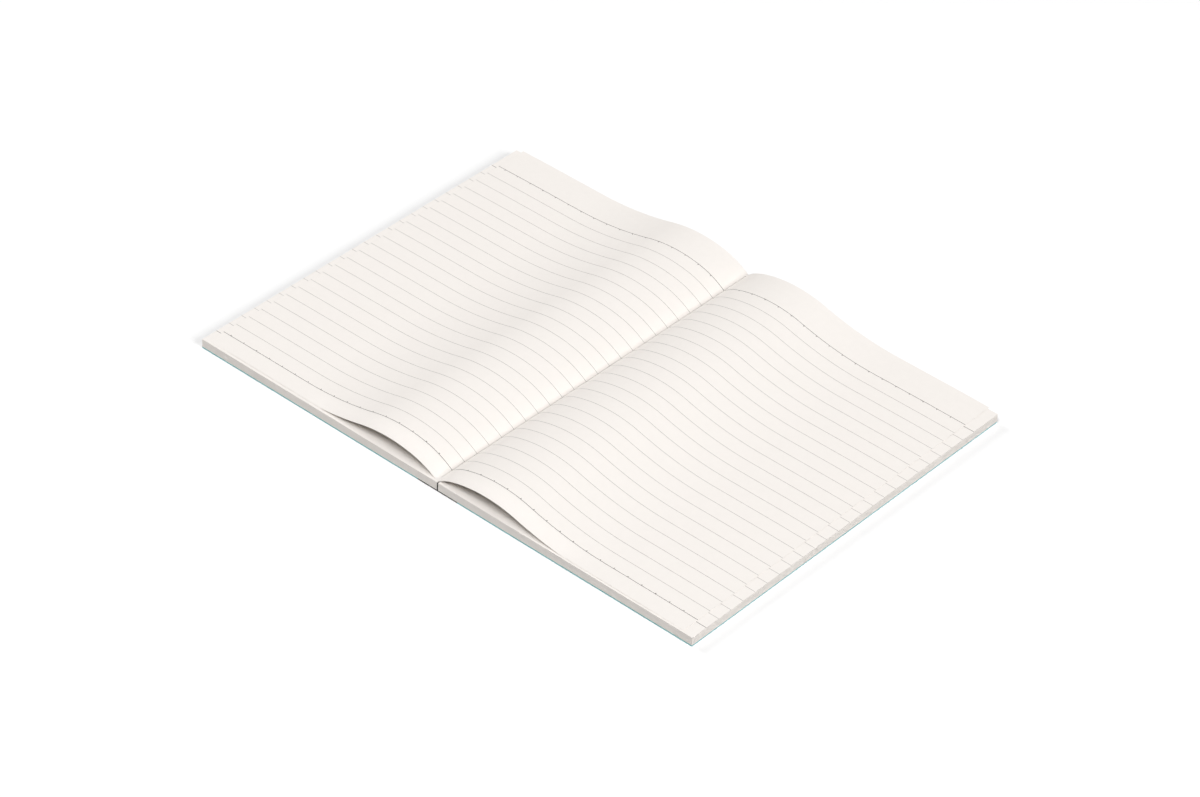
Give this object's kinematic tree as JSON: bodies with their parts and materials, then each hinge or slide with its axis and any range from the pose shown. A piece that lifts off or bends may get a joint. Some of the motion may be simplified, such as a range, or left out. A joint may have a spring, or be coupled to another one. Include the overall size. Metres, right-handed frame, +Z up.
{
  "type": "open composition notebook",
  "caption": "Ruled notebook lying open flat at its middle, with thin card covers, a folded cloth spine tape and a lifted top leaf on either half.",
  "frame": {"origin": "middle of the spine, on the underside of the covers", "axes": "+X across the spread towards the back cover, +Y up the page towards its head, +Z up from the underside to the open pages"},
  "size_m": [0.29, 0.2114, 0.0131],
  "materials": {
    "page_paper": "uncoated cream writing paper",
    "cover_card": "matt coloured card",
    "spine_cloth": "woven book cloth tape"
  },
  "bodies": {
    "right_pages": {"right_page_block": "page_paper", "right_leaf": "page_paper", "spine_tape": "spine_cloth"},
    "left_pages": {"left_page_block": "page_paper", "left_leaf": "page_paper"},
    "front_board": {"front_cover": "cover_card"},
    "back_board": {"back_cover": "cover_card"}
  },
  "joints": [
    {"name": "pages_close", "type": "hinge", "parent": "right_pages", "child": "left_pages", "pos_m": [0, 0, 0.00495], "axis": [0, 1, 0], "range_deg": [0, 180], "deforming": ["left_leaf", "right_leaf", "spine_tape"]},
    {"name": "front_cover_open", "type": "hinge", "parent": "left_pages", "child": "front_board", "pos_m": [0, 0, -0.00005], "axis": [0, -1, 0], "range_deg": [0, 180], "deforming": ["spine_tape"]},
    {"name": "back_cover_open", "type": "hinge", "parent": "right_pages", "child": "back_board", "pos_m": [0, 0, -0.00005], "axis": [0, 1, 0], "range_deg": [0, 180], "deforming": ["spine_tape"]}
  ]
}
